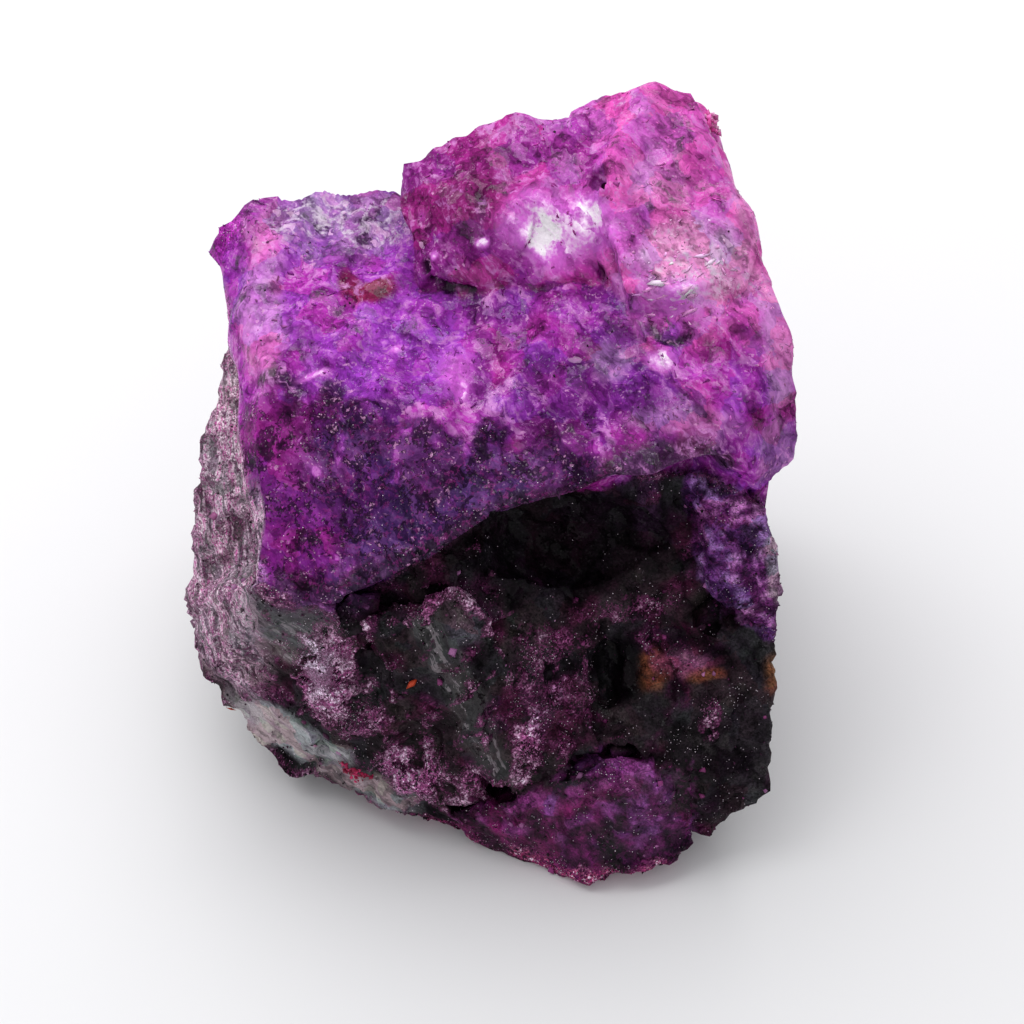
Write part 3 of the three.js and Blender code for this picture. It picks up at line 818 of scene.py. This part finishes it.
mm = vector("MULTIPLY", node("TexCoord").outputs["Object"], (1000, 1000, 1000))
wide_cloud = cloudy(mm, 1.8, 2).outputs["Color"]
fine_cloud = cloudy(mm, 0.45, 2, 0.65).outputs["Color"]
bent = shifted(mm, wide_cloud, 0.9)
wide = parts(wide_cloud)
fine = parts(fine_cloud)
cloud = parts(cloudy(bent, 2.2, 4, 0.65).outputs["Color"])
tint_of = layer("tint")
sugar_of = layer("sugar")
milk_of, frost_of, painted_glow_of = parts(layer("cover"))
crown_of, mottled_of, glass_of = parts(layer("kind"))
banded_of, glassy_band_of, shaded_hollow_of = parts(layer("side"))

# Grain lines run along a slant on the crown, along the glassy ridge and the glassy band, and along
# the bands of the left side. Cells are drawn out to twice their width that way, and streaks to 17 times.
in_glass = rise(glass_of, 0.45, 0.55)
in_glassy_band = rise(glassy_band_of, 0.45, 0.55)
in_bands = rise(banded_of, 0.45, 0.55)
run = between((0.62, -0.55, -0.56), (0.37, -0.29, -0.88), in_glass)
run = between(run, (0.84, -0.36, -0.40), in_glassy_band)
run = between(run, (0.0, 0.96, 0.28), in_bands)
calm = between(bent, shifted(mm, wide_cloud, 0.25), sum_of("MAXIMUM", in_bands, in_glass))
along = node("VectorMath", {0: calm, 1: run}, operation="DOT_PRODUCT").outputs["Value"]
bladed = vector("SUBTRACT", calm, scaled(run, times(along, 0.5)))
drawn_out = vector("SUBTRACT", calm, scaled(run, times(along, 0.94)))
streak = cloudy(drawn_out, 0.75, 4, 0.65).outputs["Fac"]
broad = cloudy(drawn_out, 2.6, 1).outputs["Fac"]
# Crystal cells by their size in mm: large ones, small ones, shards, and single grains.
large = parts(cells(shifted(bent, fine_cloud, 0.25), 3.2).outputs["Color"])
small_node = cells(bladed, 1.0)
small_cell = small_node.outputs["Color"]
small = parts(small_cell)
shard_cell = cells(bladed, 0.45).outputs["Color"]
shard = parts(shard_cell)
grain_node = cells(mm, 0.13)
grain_cell = grain_node.outputs["Color"]
grain = parts(grain_cell)

# Each cell has its own hue and its own lightness, and the lightest parts are pale.
hue = laid((1.08, 0.84, 0.94), (0.84, 0.96, 1.04), rise(large[0], 0.25, 0.75))
colour = laid(tint_of, hue, 1.0, "MULTIPLY")
colour = laid(colour, (1.0, 1.25, 1.02), rise(small[1], 0.70, 0.80, 0, 0.8), "MULTIPLY")
light = added(rise(large[2], 0, 1, 0.84, 1.16), (small[0], added(0.50, times(mottled_of, 0.4))),
              (shard[0], added(0.44, times(mottled_of, 0.1))), (rise(cloud[0], 0.3, 0.7), 0.50),
              (rise(fine[0], 0.3, 0.7), 0.26), (rise(streak, 0.35, 0.65), 0.52),
              (rise(broad, 0.35, 0.65), 0.20))
shade = sum_of("MINIMUM", sum_of("MAXIMUM", light, 0.2), added(1.12, times(mottled_of, 0.4)))
colour = laid(colour, grey(shade), 1.0, "MULTIPLY")
pale = times(rise(light, 1.08, 1.75, 0, 0.75), crown_of, rise(mottled_of, 0.2, 0.8, 1, 0.25))
colour = laid(colour, linear(214, 138, 212), pale)
# The corners between small cells are dark, and a few shards are bright where the stone is milky.
corners = rise(small_node.outputs["Distance"], 0.50, 0.70, 0, 0.45)
colour = laid(colour, (0.42, 0.22, 0.46), corners, "MULTIPLY")
bright_share = times(rise(milk_of, 0.15, 0.45), 0.22)
bright = times(rise(sum_of("SUBTRACT", bright_share, shard[1]), -0.01, 0.01), crown_of)
bright = times(bright, rise(shard[2], 0, 1, 0.15, 0.6), rise(mottled_of, 0.2, 0.8, 1, 0.1))
colour = laid(colour, linear(240, 190, 234), bright)
# Where the stone is mottled it is darker, up to a torn line.
colour = laid(colour, (0.62, 0.58, 0.66), rise(added(mottled_of, (cloud[2], 1.6)), 0.42, 0.56), "MULTIPLY")
# Grey and pink bands on the left side, and dark and pale lines in the glass.
band = added(streak, (rise(broad, 0.3, 0.7), 0.18), (fine[1], 0.10))
banding = linear(58, 50, 55)
for band_colour, low_edge, high_edge in [
        (linear(142, 130, 138), 0.38, 0.44), (linear(214, 190, 206), 0.45, 0.50),
        (linear(206, 96, 168), 0.52, 0.54), (linear(238, 218, 230), 0.55, 0.58),
        (linear(124, 104, 118), 0.61, 0.65)]:
    banding = laid(banding, band_colour, rise(band, low_edge, high_edge))
banding = laid(banding, linear(88, 92, 86), rise(added(wide[0], (streak, 0.5)), 0.55, 0.60, 0, 0.7))
colour = laid(colour, banding, times(banded_of, 0.72))
lined = rise(glass_of, 0.3, 0.7)
dark_line = times(lined, rise(streak, 0.42, 0.50, 0.75, 0), rise(glassy_band_of, 0, 1, 1, 0.3))
colour = laid(colour, linear(14, 8, 13), dark_line)
colour = laid(colour, linear(172, 160, 168), times(lined, rise(streak, 0.555, 0.575), 0.36))

# Thin dark cracks in broken lengths, dark inclusions, and blotches.
middle_line = sum_of("ABSOLUTE", sum_of("SUBTRACT", wide[2], 0.5))
crack = times(rise(middle_line, 0.0, 0.012, 0.7, 0), rise(cloud[1], 0.53, 0.60), crown_of)
specks = times(rise(fine[1], 0.60, 0.68), rise(cloud[2], 0.42, 0.58), added(times(mottled_of, 0.7), 0.22))
blot = times(rise(added(cloud[1], (fine[2], 0.6)), 0.54, 0.58), mottled_of, 0.8)
colour = laid(colour, linear(150, 44, 128), times(rise(fine[1], 0.54, 0.62, 0, 0.35), mottled_of))
colour = laid(colour, NIGHT, sum_of("MAXIMUM", crack, sum_of("MAXIMUM", specks, blot)))

# Milky veils between the cells, and pale flecks.
veil = added(milk_of, rise(small_node.outputs["Distance"], 0.2, 0.6, -0.12, 0.22), (fine[0], 0.8),
             (streak, 0.8), (cloud[2], 0.7))
colour = laid(colour, MILK, rise(veil, 0.45, 0.85, 0, 0.8))
colour = laid(colour, PALE, times(rise(fine[2], 0.60, 0.68, 0, 0.6), rise(cloud[0], 0.45, 0.6), crown_of))

# Frost: pale grains over a magenta bloom on the dark stone, thicker where the frost share is high.
thick = times(frost_of, added(1.0, (cloud[1], 2.6), (wide[1], 3.8), (fine[2], 3.4), (grain[1], 1.5)))
off_crown = rise(crown_of, 0.2, 0.6, 1, 0)
colour = laid(colour, linear(100, 42, 82), times(rise(thick, 0.12, 0.46, 0, 0.75), off_crown))
colour = laid(colour, sugar_of, times(rise(thick, 0.42, 1.0, 0, 0.75), off_crown))
crust = times(rise(thick, 0.8, 1.3), rise(fine[1], 0.44, 0.56), off_crown, 0.9)
colour = laid(colour, linear(236, 214, 236), crust)
# Off the crown, single grains are lighter or darker than their neighbours.
grainy = sum_of("MAXIMUM", rise(thick, 0.05, 0.30), times(off_crown, rise(glass_of, 0, 0.5, 0.75, 0.2)))
colour = laid(colour, grey(rise(grain[0], 0.0, 1.0, 0.45, 1.7)), grainy, "MULTIPLY")
# Dust and painted glints: single bright specks, partly white dust and partly painted glints of light off tiny
# facets, fewer in the hollows laid with painted shade.
dust_and_glint_share = added(times(frost_of, 0.12), times(mottled_of, 0.020), rise(crown_of, 0.2, 0.6, 0.045, 0.003))
dust_and_glint_share = times(dust_and_glint_share, rise(cloud[2], 0.46, 0.62, 0.05, 2.2), rise(shaded_hollow_of, 0, 0.6, 1, 0.3))
dust_and_glint_cells = rise(sum_of("SUBTRACT", dust_and_glint_share, grain[1]), 0.0, 0.01)
dust_and_glint = times(rise(grain_node.outputs["Distance"], 0.25, 0.36, 1, 0), dust_and_glint_cells)
colour = laid(colour, linear(244, 226, 240), times(dust_and_glint, rise(grain[2], 0, 1, 0.4, 1.0)))
# The painted glow: a painted highlight for light sent back from inside the crystal, a soft violet-pink halo
# and white faces in its heart.
glow_strength = times(painted_glow_of, rise(small[2], 0, 1, 0.8, 1.2))
glow_strength = added(glow_strength, times(painted_glow_of, added((fine[0], 1.2), (streak, 1.0))))
colour = laid(colour, linear(228, 116, 230), rise(painted_glow_of, 0.05, 0.55, 0, 0.9))
glow_core = rise(glow_strength, 0.34, 0.86)
colour = laid(colour, linear(255, 244, 255), glow_core)
# Painted shade: the small round hole is painted dark inside.
hole = node("VectorMath", {0: mm, 1: PINHOLE}, operation="DISTANCE").outputs["Value"]
colour = laid(colour, linear(26, 2, 16), rise(hole, 0.40, 0.56, 0.96, 0))
tree.links.new(colour, shader.inputs["Base Color"])

rough = added(rise(small[2], 0, 1, 0.36, 0.62), times(grainy, 0.2), times(glass_of, -0.2))
tree.links.new(rough, shader.inputs["Roughness"])
# Glassy parts have a clear skin, and so has a cell here and there and the heart of the painted glow.
glossy_cell = times(rise(small[2], 0.62, 0.70, 0.0, 0.4), rise(mottled_of, 0, 0.5, 1, 0.1))
skin = added(times(glass_of, 0.8), glossy_cell, rise(grain[2], 0.90, 0.94, 0, 0.5))
skin = added(times(skin, added(times(crown_of, 0.75), 0.22)), times(glass_of, 0.4), glow_core)
tree.links.new(sum_of("MINIMUM", skin, 1.0), shader.inputs["Coat Weight"])
shader.inputs["Coat Roughness"].default_value = 0.16
shader.inputs["Coat IOR"].default_value = 1.6
# Each cell's face is tipped its own way, so that some catch the light. Where the painted glow is, the
# faces are tipped upwards as well, towards the light above.
tipped = node("NewGeometry").outputs["Normal"]
for noise, reach in [(small_cell, 0.22), (shard_cell, 0.16), (grain_cell, 0.14), (fine_cloud, 0.45)]:
    tipped = shifted(tipped, noise, reach)
tipped = vector("NORMALIZE", vector("ADD", tipped, scaled((-0.3, 0.5, 1.8), glow_core)))
tree.links.new(tipped, shader.inputs["Normal"])
tree.links.new(tipped, shader.inputs["Coat Normal"])
shader.inputs["IOR"].default_value = 1.5
shader.inputs["Specular IOR Level"].default_value = 0.04
stone_mesh.materials.append(violet_stone)
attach(stone, "root")
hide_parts("rough_sapphire")


# The sugar: grains of the same stone that cling to the broken front, the banded side and the edges.
# Each is a small eight-faced crystal, turned at random and sunk part of its depth into the surface.
facing = outward(stone_points, stone_faces)
quads = stone_points[stone_faces]
quad_area = 0.5 * np.linalg.norm(np.cross(quads[:, 2] - quads[:, 0], quads[:, 3] - quads[:, 1]), axis=1)
EIGHT_FACES = np.array([
    (0, 2, 4), (2, 1, 4), (1, 3, 4), (3, 0, 4), (2, 0, 5), (1, 2, 5), (3, 1, 5), (0, 3, 5)])

grain_stone = bpy.data.materials.new("grain_stone")
grain_stone.use_nodes = True
grain_tree = grain_stone.node_tree
grain_shader = grain_tree.nodes["Principled BSDF"]
grain_tint = grain_tree.nodes.new("ShaderNodeAttribute")
grain_tint.attribute_name = "tint"
grain_tree.links.new(grain_tint.outputs["Color"], grain_shader.inputs["Base Color"])
grain_shader.inputs["Roughness"].default_value = 0.35
grain_shader.inputs["Specular IOR Level"].default_value = 0.2


def crystals(name, share, count, size, colours, seed, shape=(1.0, 0.75, 0.5), lean=9.0, stand=(-0.2, 0.5),
             along=(0, 0, 0), level=0.0, ground=tint, own=0.0):
    """Eight-faced crystals strewn over the stone, more of them where share is high.
    Each has three half axes at right angles: a random length between the two sizes, times shape.
    The shortest leans away from the surface's normal by a random push of that much, so a small lean
    gives flakes that lie flat, and level turns it towards upright. The longest can be drawn to one
    direction, along. Stand is how far the middle is lifted off the surface, in half axes. A crystal's
    colour is drawn from the list, and blended with the ground's colour there by the share own."""
    draw = np.random.RandomState(seed)
    chance = quad_area * np.maximum(share, 0)[stone_faces].mean(1)
    chosen = draw.choice(len(quads), count, p=chance / chance.sum())
    a, b = draw.uniform(0, 1, (2, count, 1))
    corner = quads[chosen]
    at = (corner[:, 0] * (1 - a) + corner[:, 1] * a) * (1 - b)
    at = at + (corner[:, 3] * (1 - a) + corner[:, 2] * a) * b
    half = size[0] * (size[1] / size[0]) ** (draw.uniform(0, 1, (count, 1)) ** 1.6)
    half = half * np.array(shape) * draw.uniform(0.7, 1.3, (count, 3))
    normal = facing[stone_faces[chosen, 0]]
    short = normal + level * np.array((-0.1, 0.15, 1.0)) + lean * draw.uniform(-1, 1, (count, 3))
    short /= np.linalg.norm(short, axis=1, keepdims=True)
    long = draw.normal(size=(count, 3)) + np.array(along)
    long -= short * (long * short).sum(1, keepdims=True)
    long /= np.linalg.norm(long, axis=1, keepdims=True)
    arms = np.stack([long, np.cross(short, long), short], 1) * half[:, :, None]
    tips = np.stack([arms, -arms], 2).reshape(count, 6, 3)
    at = at + normal * half.mean(1)[:, None] * draw.uniform(stand[0], stand[1], (count, 1))
    points = (at[:, None] + tips).reshape(-1, 3)
    points[:, 2] = np.maximum(points[:, 2], 0)
    faces = (EIGHT_FACES + 6 * np.arange(count)[:, None, None]).reshape(-1, 3)
    shade = np.array(colours)[draw.randint(0, len(colours), count)]
    shade = shade + own * (ground[stone_faces[chosen, 0]] - shade)
    shade = np.clip(shade * draw.uniform(0.55, 1.3, (count, 1)), 0, 1)
    mesh = mesh_from(name, points, faces, tint=np.repeat(shade, 6, axis=0))
    piece = bpy.data.objects.new(name, mesh)
    scene.collection.objects.link(piece)
    mesh.materials.append(grain_stone)
    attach(piece, "root")


PINKS = [linear(160, 66, 130), linear(126, 36, 98), linear(196, 140, 186), linear(96, 24, 74)]
patchy = smooth_step(lumps(home, 0.9, 41) + 0.7 * lumps(home, 2.4, 42), -0.3, 0.5)
crystals("sugar_grains", frost ** 2.4 * (0.1 + patchy) * (1 - 0.7 * crown), 20000, (0.025, 0.075), PINKS, 51,
         ground=sugar, own=0.3)
crystals("sugar_clusters", frost ** 3 * patchy ** 2 * (1 - crown) * (1 - 0.6 * banded), 6000, (0.05, 0.13),
         PINKS, 58, ground=sugar, own=0.3)
dark_share = (1 - crown) * (1 - 0.8 * glass) * (1 - 0.8 * banded) * (1 - shaded_recess)
crystals("dark_grains", dark_share, 9000, (0.05, 0.20),
         [linear(10, 4, 8), linear(26, 8, 22), linear(16, 7, 14), linear(60, 18, 50)], 52)
corner_share = patch((-23.2, 18.6, 35.0), (2.6, 2.6, 2.6), 0.3)
crystals("crown_grains", crown * (0.01 + 0.10 * edges + 0.01 * lower * patchy + 3.0 * corner_share),
         1800, (0.02, 0.055),
         [linear(196, 110, 200), linear(150, 50, 150), linear(210, 170, 214), linear(90, 30, 100)], 53,
         own=0.4)

# Thin pieces that lie flat on the crown: pinkish-white cleavage flakes that all point one way, broken
# bits of pale stone among them, and thin plates of the stone's own colour all over.
flake_share = patch((13.9, 4.6, 42.4), (2.6, 1.2, 1.4)) + 0.7 * patch((16.8, 6.6, 43.6), (2.6, 1.4, 1.4))
crystals("cleavage_flakes", flake_share, 30, (0.5, 1.3),
         [1.5 * linear(252, 190, 240), 1.4 * linear(240, 160, 226), 1.6 * linear(255, 214, 250)], 54,
         shape=(1.0, 0.3, 0.03), lean=0.25, stand=(-0.3, 0.0), along=(3.6, 1.4, 0.9), level=0.5, own=0.1)
crystals("pale_bits", crown * patch((16.0, 7.4, 43.4), (5.2, 4.4, 3.0), 0.8), 260, (0.08, 0.36),
         [linear(246, 170, 228), linear(255, 206, 244), linear(226, 120, 204), linear(200, 80, 176)], 60,
         shape=(1.0, 0.5, 0.04), lean=0.4, stand=(-0.2, 0.0), own=0.3)
crystals("crown_plates", crown * (1 - banded) * (0.4 + patchy) * (1 - 0.5 * lower), 3600, (0.10, 0.55),
         [linear(196, 96, 200), linear(150, 50, 150), linear(220, 140, 210), linear(110, 34, 120)], 61,
         shape=(1.0, 0.5, 0.06), lean=0.4, stand=(-0.3, 0.0), along=(1.2, -1.0, -1.0), own=0.9)

# Broken bits with a form of their own: pink crystals that stand out at the top right corner, chips
# wedged into the front, the banded side and the edges, rust-red flakes, and crimson bits.
crystals("corner_crystals", patch((18.2, 21.0, 46.0), (1.1, 1.1, 1.3), 0.1, 0.2), 26, (0.25, 0.6),
         [linear(236, 110, 186), linear(246, 170, 216), linear(214, 70, 156)], 59,
         shape=(1.0, 0.7, 0.6), lean=1.2, stand=(0.0, 1.2))
chip_share = (1 - crown) * (0.25 + 1.4 * edges * (z < 12)) * (1 - shaded_recess) * (1 - shaded_pit)
crystals("chips", chip_share, 600, (0.16, 0.50),
         [linear(150, 60, 124), linear(110, 28, 88), linear(30, 14, 26), linear(190, 120, 180),
          linear(80, 26, 70)], 55,
         shape=(1.0, 0.8, 0.6), lean=1.2, stand=(-0.4, 0.1), own=0.35)
rust_share = patch((-6.7, -14.2, 18.6), (0.5, 1.0, 0.5), 0.1)
rust_share += patch((-21.6, -9.3, 8.6), (0.8, 1.0, 0.8), 0.1)
crystals("rust_flakes", rust_share, 2, (0.60, 0.70), [linear(172, 60, 34), linear(190, 76, 40)], 56,
         shape=(1.0, 0.5, 0.2), lean=0.3, stand=(0.2, 0.6))
crystals("crimson_bits", patch((-11.5, -14.3, 5.8), (1.7, 1.2, 0.8), 0.5), 110, (0.12, 0.42),
         [linear(170, 34, 84), linear(204, 60, 110), linear(140, 20, 60)], 57,
         shape=(1.0, 0.7, 0.5), lean=1.2, stand=(-0.3, 0.3))
